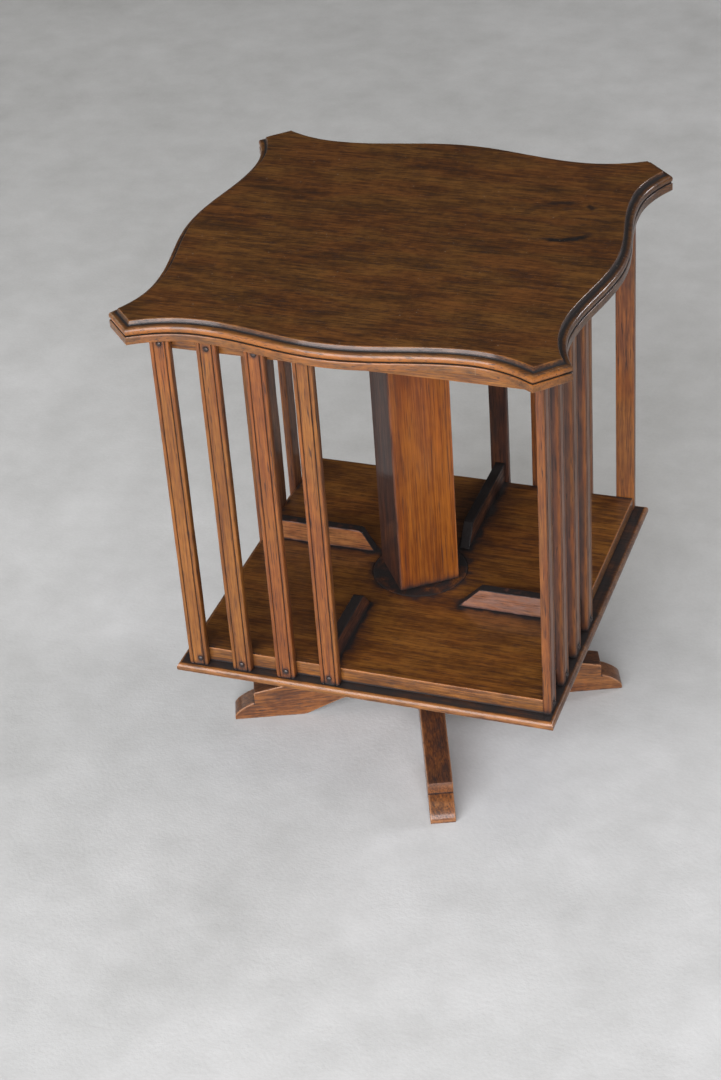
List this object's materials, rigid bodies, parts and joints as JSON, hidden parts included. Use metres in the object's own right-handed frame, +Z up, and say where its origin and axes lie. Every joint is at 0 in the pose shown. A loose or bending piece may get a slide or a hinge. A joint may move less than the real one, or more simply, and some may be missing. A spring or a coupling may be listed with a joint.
{
  "type": "revolving bookcase table",
  "caption": "Revolving bookcase table: an open slatted case under a moulded serpentine top turns about a square post on a low cross foot, with a book bay on each side.",
  "frame": {"origin": "on the floor, below the middle of the centre post, which is the axis that the case turns about", "axes": "+Z up, along the turning axis; the case at rest is square to X and Y, and its front faces -Y; the arms of the foot are turned 22 degrees from X and Y and the post 36 degrees"},
  "size_m": [0.4442, 0.4442, 0.559],
  "materials": {
    "top_oak": "dark brown waxed oak, satin",
    "board_oak": "brown waxed oak, satin",
    "slat_oak": "orange-brown waxed oak with dark grooves",
    "divider_oak": "brown waxed oak, darkened on top",
    "post_oak": "rich orange-brown waxed oak",
    "foot_oak": "orange-brown waxed oak, worn",
    "iron": "dark dull iron",
    "steel": "plain steel"
  },
  "bodies": {
    "stand": {"foot_bar_lower": "foot_oak", "foot_bar_upper": "foot_oak", "pivot_block": "foot_oak", "centre_rod": "steel", "rod_washer": "steel", "rod_nut": "steel", "lower_bearing_ring": "iron", "centre_post": "post_oak", "top_pin": "steel", "foot_screw_1": "iron", "foot_screw_2": "iron", "foot_screw_3": "iron", "foot_screw_4": "iron", "lower_ring_screw_1": "iron", "lower_ring_screw_2": "iron", "lower_ring_screw_3": "iron"},
    "case": {"base_board": "board_oak", "shelf_board": "board_oak", "sub_top": "board_oak", "table_top": "top_oak", "upper_bearing_ring": "iron", "top_bearing_plate": "iron", "divider_front": "divider_oak", "divider_right": "divider_oak", "divider_back": "divider_oak", "divider_left": "divider_oak", "slat_front_1": "slat_oak", "slat_front_2": "slat_oak", "slat_front_3": "slat_oak", "slat_front_4": "slat_oak", "slat_right_1": "slat_oak", "slat_right_2": "slat_oak", "slat_right_3": "slat_oak", "slat_right_4": "slat_oak", "slat_back_1": "slat_oak", "slat_back_2": "slat_oak", "slat_back_3": "slat_oak", "slat_back_4": "slat_oak", "slat_left_1": "slat_oak", "slat_left_2": "slat_oak", "slat_left_3": "slat_oak", "slat_left_4": "slat_oak", "base_screw_1": "iron", "base_screw_2": "iron", "base_screw_3": "iron", "base_screw_4": "iron", "sub_top_screw_1": "iron", "sub_top_screw_2": "iron", "sub_top_screw_3": "iron", "sub_top_screw_4": "iron", "upper_ring_screw_1": "iron", "upper_ring_screw_2": "iron", "upper_ring_screw_3": "iron", "top_plate_screw_1": "iron", "top_plate_screw_2": "iron", "top_plate_screw_3": "iron"}
  },
  "joints": [
    {"name": "case_spin", "type": "hinge", "parent": "stand", "child": "case", "pos_m": [0, 0, 0.1432], "axis": [0, 0, 1], "continuous": true}
  ]
}
